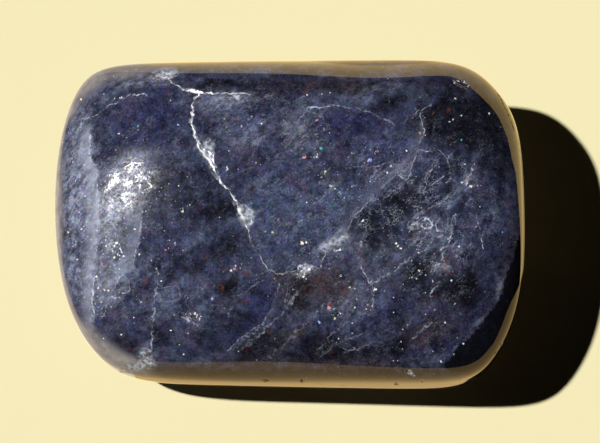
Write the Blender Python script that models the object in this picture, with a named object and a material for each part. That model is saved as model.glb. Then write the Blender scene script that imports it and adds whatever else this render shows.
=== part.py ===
"""A tumbled and polished iolite stone, lying on the flat of its underside.

It is one solid: a leaning pillow with a rounded rectangle for its plan, squarest at its right end. A cracked
seam with chipped lips cuts its upper face, and its near and far shoulders have chips and pits from tumbling.
Metres, +Z up, +X along the stone. The origin is on the face that it rests on, below its middle.
"""

import math

import bmesh
import bpy
from mathutils import Vector

MM = 0.001

# The waist, seen from above, is a ring of soft flats: (azimuth in degrees, distance from the middle in mm).
WAIST_FLATS = (
    (1, 12.44),
    (16, 18.67),
    (45, 12.70),
    (90.5, 8.36),
    (135.7, 13.51),
    (168, 13.16),
    (188, 12.73),
    (219, 12.78),
    (243, 12.25),
    (268.6, 8.68),
    (304, 13.46),
    (331, 13.45),
)
FLAT_SOFTNESS = 17

# Towards the top and the underside the plan turns into an ellipse with these half lengths.
DOME_HALF_LENGTH = 12.82 * MM
DOME_HALF_WIDTH = 8.24 * MM
DOME_FADE = 4

# Heights: the waist stands above the rest face, and the underside would reach a little below it uncut.
WAIST_HEIGHT = 6.71 * MM
RISE_ABOVE_WAIST = 4.17 * MM
DROP_BELOW_WAIST = 6.97 * MM

# The stone leans a little: its upper side rises towards the right end and the far side, per unit of length.
LEAN_ALONG = 0.0174
LEAN_ACROSS = 0.1455

# How square the section is: 2 is an ellipse. Above the waist the exponent is the sum of factor * x**i * y**j
# over the parts of a direction from the middle: (factor, i, j). The right end is the squarest, and the least
# exponent keeps the far side from turning into a sharp keel.
SQUARENESS = (
    (2.93, 0, 0),
    (0.67, 1, 0),
    (0.13, 0, 1),
    (-1.13, 1, 1),
    (0.54, 2, 0),
    (-0.54, 0, 2),
    (-2.10, 2, 1),
    (-0.47, 0, 3),
)
LEAST_SQUARENESS = 2.05
UNDERSIDE_SQUARENESS = 2.9

# Brings the middle of the stone's box over the origin.
MIDDLE_X = 0.078 * MM
MIDDLE_Y = 0.208 * MM

# Broad waves of the tumbled surface: (height in mm, waves per mm along X, along Y, phase in radians).
TUMBLE_WAVES = (
    (0.045, 0.045, 0.030, 0.6),
    (0.035, -0.060, 0.085, 2.1),
    (0.025, 0.110, 0.050, 4.0),
)

GRID_CUTS = 22

# The cracked seam and its branch on the upper face: (x, y, width) in mm.
SEAM = (
    (-6.15, 6.89, 0.22),
    (-5.78, 6.64, 0.24),
    (-5.47, 6.46, 0.27),
    (-5.17, 6.32, 0.24),
    (-4.74, 6.21, 0.27),
    (-4.85, 5.89, 0.13),
    (-5.13, 5.51, 0.16),
    (-5.00, 5.17, 0.22),
    (-5.07, 4.85, 0.16),
    (-5.12, 4.48, 0.19),
    (-4.96, 4.17, 0.22),
    (-4.87, 3.80, 0.22),
    (-4.72, 3.25, 0.24),
    (-4.48, 2.94, 0.27),
    (-4.24, 2.64, 0.32),
    (-3.99, 2.27, 0.32),
    (-3.84, 1.91, 0.27),
    (-3.67, 1.54, 0.24),
    (-3.33, 1.12, 0.19),
    (-3.07, 0.99, 0.22),
    (-2.91, 0.64, 0.24),
    (-2.67, 0.21, 0.27),
    (-2.60, -0.09, 0.24),
    (-2.43, -0.38, 0.32),
    (-2.28, -0.81, 0.27),
    (-2.10, -1.18, 0.16),
    (-1.98, -1.63, 0.13),
    (-1.83, -1.96, 0.13),
    (-1.59, -2.37, 0.13),
    (-1.38, -2.73, 0.16),
    (-1.23, -2.96, 0.16),
    (-0.99, -3.20, 0.16),
    (-0.70, -3.38, 0.13),
    (-0.34, -3.47, 0.13),
    (0.02, -3.36, 0.13),
)
SEAM_BRANCH = (
    (-4.74, 6.21, 0.19),
    (-4.08, 6.13, 0.19),
    (-3.65, 6.11, 0.19),
    (-3.07, 6.11, 0.19),
    (-2.65, 6.06, 0.22),
    (-2.07, 6.04, 0.22),
    (-1.70, 6.10, 0.13),
)
SEAM_DEPTH_PER_WIDTH = 0.7
CUTTER_LIFT = 0.08 * MM

# Flakes lost from the surface: (azimuth and rise of the direction, half length, half width, depth, turn),
# in degrees and mm.
CHIPS = (
    (146.1, 62.1, 0.48, 0.25, 0.10, -59),
    (-168.2, 79.2, 0.48, 0.25, 0.10, -58),
    (132.0, 35.4, 0.58, 0.26, 0.12, 8),
    (-136.1, 22.7, 0.76, 0.26, 0.13, 20),
    (36.5, 28.0, 0.50, 0.18, 0.09, -28),
    (-53.7, 31.7, 0.28, 0.15, 0.09, -35),
    (-98.6, 3.2, 0.20, 0.13, 0.08, 0),
    (-86.0, 3.0, 0.15, 0.12, 0.08, 10),
    (-57.0, -1.8, 0.15, 0.12, 0.08, 0),
)

STONE_COLOUR = (0.035, 0.038, 0.070, 1)
STONE_ROUGHNESS = 0.12
STONE_IOR = 1.54


def clear_scene():
    """Leaves an empty scene to build in."""
    for old in list(bpy.data.objects):
        bpy.data.objects.remove(old, do_unlink=True)


def waist_radius(azimuth):
    """Distance from the middle to the waist, in metres, in the direction given in radians."""
    total = 0.0
    for degrees, distance in WAIST_FLATS:
        facing = math.cos(azimuth - math.radians(degrees))
        if facing > 0:
            total += (facing / (distance * MM)) ** FLAT_SOFTNESS
    return total ** (-1 / FLAT_SOFTNESS)


def dome_radius(azimuth):
    """The radius of the ellipse that the plan turns into near the top and the underside."""
    return 1 / math.hypot(math.cos(azimuth) / DOME_HALF_LENGTH, math.sin(azimuth) / DOME_HALF_WIDTH)


def tumble_wave(x, y):
    """Height of the broad waves at a point of the plan."""
    return sum(
        height * MM * math.sin(2 * math.pi * (along_x * x + along_y * y) / MM + phase)
        for height, along_x, along_y, phase in TUMBLE_WAVES
    )


def surface_point(direction):
    """The point of the uncut stone's skin for a direction from its middle."""
    azimuth = math.atan2(direction.y, direction.x)
    if direction.z >= 0:
        power = sum(factor * direction.x**i * direction.y**j for factor, i, j in SQUARENESS)
        power = max(power, LEAST_SQUARENESS)
    else:
        power = UNDERSIDE_SQUARENESS
    flat = math.hypot(direction.x, direction.y)
    steep = abs(direction.z)
    reach = (flat**power + steep**power) ** (1 / power)
    out, up = flat / reach, steep / reach
    dome = dome_radius(azimuth)
    radius = out * (dome + (waist_radius(azimuth) - dome) * out**DOME_FADE)
    x, y = radius * math.cos(azimuth), radius * math.sin(azimuth)
    lean = LEAN_ALONG * x + LEAN_ACROSS * y
    if direction.z >= 0:
        height = WAIST_HEIGHT + lean + RISE_ABOVE_WAIST * up + up * tumble_wave(x, y)
    else:
        height = WAIST_HEIGHT + lean * out**2 - DROP_BELOW_WAIST * up
    return Vector((x + MIDDLE_X, y + MIDDLE_Y, height))


def direction_to(azimuth, rise):
    """The unit direction for an azimuth and a rise above the waist, in radians."""
    return Vector((math.cos(rise) * math.cos(azimuth), math.cos(rise) * math.sin(azimuth), math.sin(rise)))


def skin_direction(x, y):
    """The direction that reaches the upper skin over a point of the plan, found by halving its rise."""
    azimuth = math.atan2(y - MIDDLE_Y, x - MIDDLE_X)
    wanted = math.hypot(x - MIDDLE_X, y - MIDDLE_Y)
    low, high = 0.0, math.pi / 2
    for _ in range(40):
        rise = (low + high) / 2
        point = surface_point(direction_to(azimuth, rise))
        if math.hypot(point.x - MIDDLE_X, point.y - MIDDLE_Y) > wanted:
            low = rise
        else:
            high = rise
    return direction_to(azimuth, low)


def skin_frame(direction):
    """The skin's point in a direction and the outward normal there."""
    side = direction.orthogonal().normalized() * 0.01
    other = direction.cross(side)
    beside = [surface_point((direction + step).normalized()) for step in (side, -side, other, -other)]
    normal = (beside[0] - beside[1]).cross(beside[2] - beside[3]).normalized()
    return surface_point(direction), normal


def add_object(name, bm):
    """Turns a bmesh into an object of the scene."""
    mesh = bpy.data.meshes.new(name)
    bm.to_mesh(mesh)
    bm.free()
    made = bpy.data.objects.new(name, mesh)
    bpy.context.collection.objects.link(made)
    return made


def make_pillow():
    """The uncut stone, from a cube's grid carried out to the skin, cut flat below."""
    bm = bmesh.new()
    bmesh.ops.create_cube(bm, size=2)
    bmesh.ops.subdivide_edges(bm, edges=bm.edges[:], cuts=GRID_CUTS, use_grid_fill=True)
    for vert in bm.verts:
        even = Vector([math.tan(part * math.pi / 4) for part in vert.co])
        vert.co = surface_point(even.normalized())
    cut = bmesh.ops.bisect_plane(
        bm,
        geom=bm.verts[:] + bm.edges[:] + bm.faces[:],
        plane_co=(0, 0, 0),
        plane_no=(0, 0, -1),
        clear_outer=True,
    )
    rim = [item for item in cut["geom_cut"] if isinstance(item, bmesh.types.BMEdge)]
    bmesh.ops.contextual_create(bm, geom=rim)
    for vert in bm.verts:
        if abs(vert.co.z) < 0.001 * MM:
            vert.co.z = 0
    bmesh.ops.triangulate(bm, faces=bm.faces[:])
    bmesh.ops.recalc_face_normals(bm, faces=bm.faces[:])
    return add_object("iolite_stone", bm)


def make_seam_cutter(name, path):
    """A wedge that follows the seam over the skin, wider and deeper where the seam is wider."""
    bm = bmesh.new()
    rings = []
    for index, (x, y, width) in enumerate(path):
        before = path[max(index - 1, 0)]
        after = path[min(index + 1, len(path) - 1)]
        point, normal = skin_frame(skin_direction(x * MM, y * MM))
        along = Vector((after[0] - before[0], after[1] - before[1], 0))
        side = along.cross(normal).normalized()
        depth = SEAM_DEPTH_PER_WIDTH * width * MM
        half = width * MM / 2 * (depth + CUTTER_LIFT) / depth
        lifted = point + normal * CUTTER_LIFT
        corners = (lifted + side * half, lifted - side * half, point - normal * depth)
        rings.append([bm.verts.new(corner) for corner in corners])
    for ring, following in zip(rings, rings[1:]):
        for corner in range(3):
            beside = (corner + 1) % 3
            bm.faces.new((ring[corner], ring[beside], following[beside], following[corner]))
    bm.faces.new(rings[0][::-1])
    bm.faces.new(rings[-1])
    bmesh.ops.triangulate(bm, faces=bm.faces[:])
    bmesh.ops.recalc_face_normals(bm, faces=bm.faces[:])
    return add_object(name, bm)


def make_chip_cutter(name, chip):
    """A flattened ball, sunk to the chip's depth in the skin."""
    azimuth, rise, half_length, half_width, depth, turn = chip
    point, normal = skin_frame(direction_to(math.radians(azimuth), math.radians(rise)))
    bm = bmesh.new()
    bmesh.ops.create_icosphere(bm, subdivisions=2, radius=1)
    bmesh.ops.scale(bm, vec=(half_length * MM, half_width * MM, depth * MM), verts=bm.verts[:])
    cutter = add_object(name, bm)
    cutter.rotation_mode = "QUATERNION"
    level_turn = Vector((math.cos(math.radians(turn)), math.sin(math.radians(turn)), 0))
    along = (level_turn - normal * level_turn.dot(normal)).normalized()
    across = normal.cross(along)
    for vert in cutter.data.vertices:
        vert.co = point + along * vert.co.x + across * vert.co.y + normal * vert.co.z
    return cutter


def cut_away(stone, cutter):
    """Cuts one shape out of the stone, and keeps the cutter as a guide that isn't rendered."""
    cutter.hide_render = True
    cutter.display_type = "WIRE"
    boolean = stone.modifiers.new(cutter.name, "BOOLEAN")
    boolean.operation = "DIFFERENCE"
    boolean.solver = "EXACT"
    boolean.object = cutter


def polished_iolite():
    """Dark blue-violet stone with a high polish."""
    material = bpy.data.materials.new("polished_iolite")
    material.use_nodes = True
    surface = material.node_tree.nodes["Principled BSDF"]
    surface.inputs["Base Color"].default_value = STONE_COLOUR
    surface.inputs["Roughness"].default_value = STONE_ROUGHNESS
    surface.inputs["Metallic"].default_value = 0.0
    surface.inputs["IOR"].default_value = STONE_IOR
    return material


def main():
    clear_scene()
    stone = make_pillow()
    stone.data.materials.append(polished_iolite())
    stone.data.shade_smooth()
    cut_away(stone, make_seam_cutter("seam_cutter", SEAM))
    cut_away(stone, make_seam_cutter("seam_branch_cutter", SEAM_BRANCH))
    for number, chip in enumerate(CHIPS, start=1):
        cut_away(stone, make_chip_cutter(f"chip_cutter_{number}", chip))


main()
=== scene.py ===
"""A tumbled and polished iolite stone on a plain pale floor, dressed over its CAD solid."""

import math

import bmesh
import bpy
import numpy as np
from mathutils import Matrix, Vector, noise


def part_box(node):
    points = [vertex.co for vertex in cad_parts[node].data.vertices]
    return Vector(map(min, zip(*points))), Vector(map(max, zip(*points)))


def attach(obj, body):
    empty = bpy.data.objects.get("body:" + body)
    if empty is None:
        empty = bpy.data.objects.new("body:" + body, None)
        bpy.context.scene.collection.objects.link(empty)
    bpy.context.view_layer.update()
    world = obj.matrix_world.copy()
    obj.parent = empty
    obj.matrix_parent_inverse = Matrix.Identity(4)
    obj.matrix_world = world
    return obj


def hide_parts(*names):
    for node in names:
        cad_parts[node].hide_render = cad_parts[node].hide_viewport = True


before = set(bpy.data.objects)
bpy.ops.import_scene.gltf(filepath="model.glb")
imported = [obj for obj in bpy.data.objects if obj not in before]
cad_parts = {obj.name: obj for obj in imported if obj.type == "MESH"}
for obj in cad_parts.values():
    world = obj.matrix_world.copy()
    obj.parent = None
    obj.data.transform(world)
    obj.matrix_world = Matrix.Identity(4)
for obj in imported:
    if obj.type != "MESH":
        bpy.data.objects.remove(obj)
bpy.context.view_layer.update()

MM = 0.001

# The stone's form, in mm and degrees, as in the CAD source.
WAIST_FLATS = (
    (1, 12.44), (16, 18.67), (45, 12.7), (90.5, 8.36), (135.7, 13.51), (168, 13.16), (188, 12.73),
    (219, 12.78), (243, 12.25), (268.6, 8.68), (304, 13.46), (331, 13.45),
)
FLAT_SOFTNESS = 17
DOME_HALF_LENGTH = 12.82
DOME_HALF_WIDTH = 8.24
DOME_FADE = 4
WAIST_HEIGHT = 6.71
RISE_ABOVE_WAIST = 4.17
DROP_BELOW_WAIST = 6.97
LEAN_ALONG, LEAN_ACROSS = 0.0174, 0.1455
# The section's exponent is the sum of factor * x**i * y**j over the direction's parts: (factor, i, j).
SQUARENESS = (
    (2.93, 0, 0), (0.67, 1, 0), (0.13, 0, 1), (-1.13, 1, 1), (0.54, 2, 0), (-0.54, 0, 2), (-2.1, 2, 1),
    (-0.47, 0, 3),
)
LEAST_SQUARENESS = 2.05
UNDERSIDE_SQUARENESS = 2.9
MIDDLE_X, MIDDLE_Y = 0.078, 0.208
TUMBLE_WAVES = ((0.045, 0.045, 0.03, 0.6), (0.035, -0.06, 0.085, 2.1), (0.025, 0.11, 0.05, 4))

# The mesh: cells along X, Y and Z of the box that is carried out to the skin.
CELLS = (140, 98, 56)

# Marks are placed in px of the photo's frame, x right and y down, and lie on what the view shows there. A
# turn of 0 is left out.
# The open seam: (x, y, width).
SEAM_PATHS = (
    (
        (168, 78, 1.5), (171.7, 81.4, 2), (178.6, 85.4, 2.6), (184.3, 88.3, 3.6), (190, 90.6, 3.8),
        (198.1, 92.3, 4), (197.5, 96, 2.5), (193, 101, 1), (190, 105, 2), (193, 111, 3.5), (191.5, 117, 2.5),
        (190.6, 123.9, 3), (193.5, 129.6, 3.5), (195.2, 136.5, 3.5), (198.1, 146.8, 4), (202.7, 152.6, 5),
        (207.3, 158.3, 6), (211.9, 165.2, 6), (214.8, 172.1, 5), (218, 179, 4), (224.5, 187, 2.5),
        (229.5, 189.5, 3.5), (232.6, 196.2, 4.5), (237.2, 204.3, 4.5), (238.5, 210, 4), (241.8, 215.7, 6),
        (244.7, 223.8, 5), (247.5, 229, 1.8), (250.5, 239.7, 0.9), (253.3, 246, 0.8), (257.9, 254, 1),
        (261.9, 261, 1.6), (264.8, 265.5, 1.8), (269.4, 270.1, 1.4), (275.1, 273.6, 1.2), (282, 275.3, 1.2),
        (288.9, 273, 1.1), (294.6, 271.3, 0.8),
    ),
    (
        (198.1, 92.3, 3), (203.8, 93.5, 1.8), (210.7, 93.5, 2.2), (218.8, 93.8, 1.6), (230, 93.5, 2.1),
        (238, 94.3, 1.9), (246, 94.8, 1.4), (252, 94, 0.8), (258, 93, 0.5),
    ),
    ((213.5, 141.5, 0.9), (213.6, 150, 1.1), (212.8, 158, 1.4), (212, 165, 2)),
)
SEAM_DEPTH_PER_WIDTH = 0.45

# Flakes lost from the skin: (depth in mm, x, y, half length, half width, turn).
CHIPS = (
    (0.1, 206, 149.5, 9, 5, -59), (0.1, 247, 215, 9, 5, -58), (0.1, 165, 75, 11, 4, 8),
    (0.05, 133, 368, 14, 4, 14), (0.02, 461.5, 84, 10, 3, -28), (0.04, 409, 372, 4, 2, -30),
    (0.07, 266, 380.3, 4, 1.6), (0.07, 301.5, 381, 2.2, 1.6), (0.07, 396.3, 383.7, 2.2, 1.8),
    (0.05, 422, 381, 1.6, 1.4), (0.05, 501.5, 344, 2, 1.4, 50), (0.05, 120, 377, 1.5, 1.2),
)

# Lines at which an inner veil ends; it fades away on one side of them.
LEFT_VEIL = (
    (90.2, 135.4), (89.6, 146.8), (90.2, 154.9), (91.9, 164.1), (97.1, 165.2), (96.5, 179), (97.6, 192.8),
    (98.2, 214.6), (96.5, 238), (95.4, 255), (94.2, 266.7), (92.5, 295.4), (93, 306.8), (93.6, 318.3),
)
DOME_EDGE = (
    (141.8, 215), (141, 228), (139.5, 238), (136.1, 249.4), (133.8, 258.6), (134.4, 269), (123.5, 272.4),
    (117.7, 280.4), (113, 290),
)
SHIELD_RIGHT = ((424.3, 133), (417.4, 148), (415.1, 158.3), (411.7, 165.2), (410.5, 175.6), (405.9, 182.4))
SHIELD_LOW = (
    (405.9, 182.4), (397, 172), (389.9, 181.3), (381.8, 188.2), (373.8, 192.8), (372.6, 197.4), (366.5, 205),
    (360, 210), (351.2, 220.3), (347.4, 232.2),
)
CRESCENT = (
    (278.5, 285), (275.1, 297.7), (270.5, 311.4), (264.8, 320.6), (254.4, 328.6), (244.1, 335.5),
    (237.2, 341.3), (229.2, 349.3),
)
# (strength, reach in px, line), and a positive reach is to the right of someone who walks along the line.
VEILS = (
    (0.95, 16, LEFT_VEIL), (0.48, 22, DOME_EDGE), (0.18, 14, SHIELD_RIGHT), (0.17, 16, SHIELD_LOW),
    (0.08, -12, CRESCENT),
)

# Pale lines where inner veils and cracks meet the skin: (brightness, spread in px, points).
VEINS = (
    (0.85, 1, LEFT_VEIL),
    (0.48, 1.2, (
        (80.4, 128.5), (82.1, 119.3), (90.2, 118.1), (101.7, 112.4), (109.7, 105.5), (121.2, 99.8),
        (130.4, 94), (147.6, 95.2),
    )),
    (0.45, 1, DOME_EDGE), (0.8, 1.2, ((101.7, 301.5), (107, 300), (113, 296.5), (119, 297.5))),
    (0.6, 1, ((129, 284), (131, 289.6), (126, 293))),
    (0.55, 0.9, ((107.4, 303.4), (105, 310.3), (101.7, 317.2))),
    (0.4, 1.3, (
        (157.5, 270), (156.8, 286.2), (153.3, 302.3), (153.9, 313.7), (152.2, 322.9), (152, 335),
        (151.5, 347.5),
    )),
    (0.18, 1, ((157, 289), (161.7, 301.5), (172, 302), (181.6, 298.5), (177, 286), (165, 287), (157, 289))),
    (0.28, 0.9, ((181.6, 298.5), (184.7, 297), (189.3, 310.7), (188, 322))),
    (0.3, 0.9, ((184.7, 297), (198, 292), (206, 285))), (0.4, 0.9, ((181.6, 316.8), (190, 320), (197, 326))),
    (0.6, 1, ((309.9, 107), (320.6, 107.8), (332.9, 105.5), (343.6, 106.3), (348.2, 108.5))),
    (0.26, 1, ((348.2, 108.5), (358.9, 109), (371.5, 112.4), (383, 119.3), (394.4, 123.9))),
    (0.3, 1.2, ((300, 118), (306, 110), (318, 114), (330, 128), (318, 133), (305, 138), (296, 146))),
    (0.3, 1.4, ((403.3, 122.4), (412.5, 116.2), (424, 107), (429.3, 105))),
    (0.55, 1.2, ((420, 116.2), (421.6, 123.9), (424.3, 133))), (0.45, 0.9, SHIELD_RIGHT),
    (0.42, 0.8, ((386.4, 162.9), (398, 165), (410.5, 164))),
    (0.4, 0.8, ((348, 167.5), (362, 166.5), (375.7, 167.5), (386.4, 162.9))), (0.45, 1, SHIELD_LOW),
    (0.7, 1.3, ((347.4, 232.2), (343, 237), (336, 241), (328, 247), (320, 248))),
    (0.65, 1.1, ((325.6, 250), (325.6, 255.2), (323.3, 260.9), (319.9, 267.8), (313, 267.5))),
    (1, 1.5, ((294.6, 271.3), (299.2, 267.2), (303, 265))),
    (1, 1.5, ((302.7, 277), (308.4, 270.1), (313, 266.7))),
    (0.5, 1.2, (
        (366.9, 225.3), (364.5, 233), (362.4, 240.3), (358.9, 251.7), (359.5, 260.9), (362.4, 271.3),
        (368.1, 280.4), (371.5, 285), (374.5, 291), (373.8, 297.7), (372.7, 305.7),
    )),
    (0.3, 1.6, ((419.7, 252.9), (412, 257), (405.9, 260.9), (394.4, 271.3), (384, 277), (374, 283))),
    (0.75, 0.9, ((421, 150), (430, 151), (437, 149.5), (444.6, 154.5))),
    (0.55, 0.8, ((452, 153), (446.5, 160), (451, 170))), (0.6, 0.8, ((443, 176), (432, 185))),
    (0.6, 0.8, ((452, 177), (446, 183))), (0.55, 0.8, ((454, 173), (454.3, 181))),
    (0.7, 0.9, ((432.4, 165.2), (429, 176), (424, 191))),
    (0.55, 1.3, ((473.7, 165.2), (471, 172), (466, 180), (459, 188))),
    (0.25, 1.4, ((475, 186), (458, 191), (445, 199), (428.9, 207.7), (416, 216), (408, 224))),
    (0.75, 0.9, ((455.3, 214.3), (454.3, 226), (450, 237), (448.4, 246), (440.4, 249.4))),
    (0.6, 0.9, ((446, 214), (449, 222), (447, 231), (441, 236), (435, 238))),
    (0.85, 1, ((421, 221), (423, 229), (429, 230), (433, 224), (428, 218), (421, 221))),
    (0.6, 0.9, ((440, 216), (436, 225), (437, 233), (443, 230))),
    (0.7, 1, ((418, 216), (413, 225), (409, 231))),
    (0.6, 0.9, ((433.9, 237), (431, 244), (427.8, 249.5), (425, 250))),
    (0.6, 1, ((443, 252.6), (441.5, 263.3), (433.5, 266.5), (431, 271))),
    (0.6, 1, ((433.5, 266.5), (438, 263.5), (445, 264.4))),
    (0.65, 0.8, ((476.7, 214), (477.4, 220), (479.4, 226.5), (482.3, 233.4), (481.7, 240.3), (482.9, 248))),
    (0.5, 1.1, ((437, 286), (431.5, 291.5), (431, 296))),
    (0.26, 1.3, ((262, 281), (257.9, 282.7), (251, 288.5), (237.2, 295.4), (232.6, 305.7), (229, 314))),
    (0.34, 1.2, CRESCENT), (0.2, 1.3, ((287.7, 283.9), (285.6, 298), (284.3, 310.3))),
    (0.22, 1.2, ((410, 340), (418, 334), (427, 326), (431, 322))),
    (0.2, 1.4, ((322, 356), (334, 346), (352, 337), (366, 331))),
    (0.2, 1.4, ((345, 352), (360, 348), (372, 343))),
    (0.2, 2.2, ((300, 290), (285, 310), (262, 332), (240, 352))),
    (0.16, 2.2, ((330, 300), (312, 318), (290, 338), (270, 356))),
    (0.16, 2, ((352, 312), (338, 330), (318, 350))),
)

# Dark scratches and pits in the polish of the rim: (strength, half width in px, points).
SCRATCHES = (
    (0.9, 0.9, (
        (494.3, 88), (497.3, 93.3), (502, 100.7), (504.3, 106.7), (509.3, 117.3), (512.7, 125.3), (514, 131),
    )),
    (0.6, 0.8, ((504, 100), (510, 111), (514.5, 122))), (0.6, 0.8, ((518, 138), (521, 160), (522.5, 185))),
    (0.9, 1.3, ((262.5, 379.7), (268, 380.3))), (0.9, 1.3, ((300, 380.8), (303.5, 381.2))),
    (0.8, 1.1, ((319, 383.7), (323, 384.2))), (0.8, 1.1, ((339.5, 385.2), (345, 385.7))),
    (0.9, 1.3, ((394.5, 383.4), (398, 384.2))), (0.9, 1.3, ((406.5, 371), (410, 373))),
    (0.6, 1, ((170, 379.5), (173, 380))), (0.7, 1.1, ((457.5, 379.7), (460.5, 379.3))),
    (0.8, 1.1, ((495, 353), (498, 351.5))), (0.8, 1.1, ((506, 337.5), (508, 335.5))),
)

# The tints, as linear colours.
TINTS = {
    "white": (0.95, 0.95, 0.95), "cream": (0.9, 0.82, 0.62), "ice": (0.65, 0.75, 0.85),
    "blue": (0.38, 0.48, 0.95), "violet": (0.5, 0.45, 0.75), "rose": (0.55, 0.27, 0.29),
    "teal": (0.08, 0.42, 0.42), "olive": (0.6, 0.6, 0.3), "grey": (0.5, 0.52, 0.58),
    "rust": (0.14, 0.035, 0.02), "brown": (0.08, 0.03, 0.018), "garnet": (0.05, 0.009, 0.009),
    "tan": (0.22, 0.16, 0.1), "orange": (0.26, 0.06, 0.035),
}

# Round glints, painted as bright discs in the base colour, and small coloured grains, by tint: (x, y,
# radius).
GLINTS = {
    "white": (
        (151, 187, 1.2), (121.5, 97.5, 1), (116.5, 243, 1.9), (119.5, 244.5, 1.2), (114.5, 257.5, 1.2),
        (117.5, 255, 1.1), (123.5, 256, 1.3), (106, 246, 1), (112, 248.5, 1), (121, 250, 1),
        (96.5, 276.5, 1.1), (108.5, 290.5, 1.4), (141, 302, 1.2), (201, 316.5, 1), (171, 330.5, 1.3),
        (183.5, 354.5, 1.1), (262, 123.5, 1.2), (227, 168, 1.6), (330, 92.5, 0.9), (344.5, 197.5, 1.3),
        (391, 165.5, 1), (387, 172.5, 1.1), (406.5, 150.5, 1.1), (454.5, 82, 1.5), (459, 80.5, 1.2),
        (489, 113.5, 1.3), (471, 186, 2.1), (413.5, 224, 1.9), (396, 243, 1.7), (363, 221, 1.5),
        (375, 289.5, 2), (320, 323, 0.9), (336.5, 342.5, 0.9), (306, 242, 1.4), (300, 267, 1.8),
        (308.5, 269.5, 2.2), (340, 249.5, 1.3), (124.5, 168, 1.5), (131.5, 163.5, 1.8),
    ),
    "cream": (
        (149.5, 183.5, 1.6), (119, 133.5, 1.4), (81, 99.5, 1.3), (134.5, 229, 1.4), (98, 288, 1),
        (161, 281, 1.3), (139.5, 254.5, 1), (195, 313.5, 1.5), (316.5, 157, 1), (321.5, 177, 1.2),
        (476, 227, 1.3), (400.5, 248.5, 1.5), (418.5, 253, 1.3), (419, 270.5, 1.3), (302.5, 243, 2.4),
        (303, 276.5, 1.7), (340.5, 313.5, 0.9), (454, 354, 1.2), (85, 196.5, 1), (68, 232, 1.4),
    ),
    "ice": (
        (143, 193, 1.5), (183, 208.5, 0.9), (114.5, 98.5, 0.8), (199, 320, 1.1), (121.5, 334.5, 1.4),
        (231, 271, 1.6), (307, 95, 1.2), (365.5, 162.5, 1.3), (339, 192, 1.2), (464, 82, 1.2),
        (468.5, 85.5, 1.6), (455, 98.5, 1.5), (449.5, 122, 1.4), (454, 118.5, 0.9), (461.5, 115.5, 0.9),
        (465, 164, 1.3), (462, 182.5, 1.4), (481, 185.5, 1.1), (459, 246.5, 1.4), (451.5, 280.5, 1),
        (355, 307.5, 1.1), (403, 284, 1.2), (335, 250.5, 1.2), (341, 276, 1.5), (441, 361.5, 1.3),
        (445, 322.5, 1), (463, 343.5, 1.6), (401, 341.5, 1.1), (84, 165, 0.9), (73, 162, 0.9),
        (81.5, 229, 1), (73, 246, 1), (77.5, 259.5, 1), (91, 239.5, 0.9), (103.5, 338.5, 1),
    ),
    "blue": (
        (178, 125, 1.6), (212.5, 299, 1.9), (369.5, 160, 2.7), (485, 291.5, 1.2), (319, 322, 1.9),
        (432.5, 351, 1.2),
    ),
    "violet": (
        (175, 243.5, 2), (189, 321, 1.2), (236, 266, 1.4), (241, 126.5, 1.7), (301.5, 97.5, 0.8),
        (433, 281, 1.3), (278.5, 219.5, 1.7), (292.5, 303.5, 1),
    ),
    "rose": (
        (165.5, 249.5, 1.2), (186, 314, 1.1), (234.5, 269, 2.4), (317, 120.5, 1.9), (324, 129, 1.4),
        (304, 157, 2.2), (377, 151, 2), (420, 133, 1.5), (389.5, 101.5, 0.9), (367.5, 305.5, 1.5),
        (329, 308, 2.6),
    ),
    "teal": ((138, 126, 1.3), (321, 148.5, 2.3), (461.5, 140, 1.2), (334.5, 309, 1.3)),
    "olive": (
        (182.5, 211.5, 1.6), (126.5, 137.5, 1.1), (322, 94, 0.9), (325.5, 171, 1.3), (335, 318.5, 1.6),
        (272.5, 232.5, 1.5),
    ),
    "grey": (
        (190, 205, 0.9), (240, 268, 0.9), (226, 171, 1.2), (331, 186, 2), (455, 304, 1.6), (350, 287.5, 1.7),
        (355, 288.5, 1.2), (268, 296, 1), (105, 181, 1.3),
    ),
}

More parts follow.
